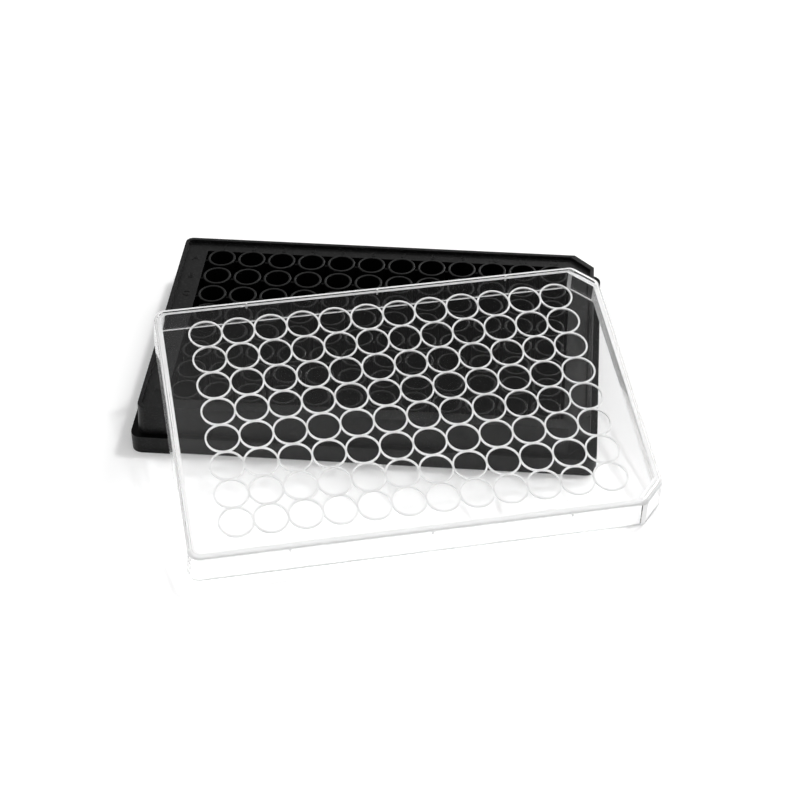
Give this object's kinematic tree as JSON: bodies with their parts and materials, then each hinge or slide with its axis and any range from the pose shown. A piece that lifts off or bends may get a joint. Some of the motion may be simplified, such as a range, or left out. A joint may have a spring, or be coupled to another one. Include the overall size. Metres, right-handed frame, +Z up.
{
  "type": "well plate",
  "caption": "Black chimney-well microplate on a stepped foot, with a clear ringed lid lying off it, leaning on one edge.",
  "frame": {"origin": "centre of the plate's footprint, on the plane that its foot stands on", "axes": "+X from column 1 to column 12, where the two cut corners are; +Y from row H to row A; +Z up out of the wells"},
  "size_m": [0.1452, 0.1372, 0.0298],
  "materials": {
    "black_polystyrene": "satin moulded black polystyrene",
    "clear_polystyrene": "polished moulded clear polystyrene"
  },
  "bodies": {
    "root": {"plate": "black_polystyrene", "lid": "clear_polystyrene"}
  },
  "joints": []
}
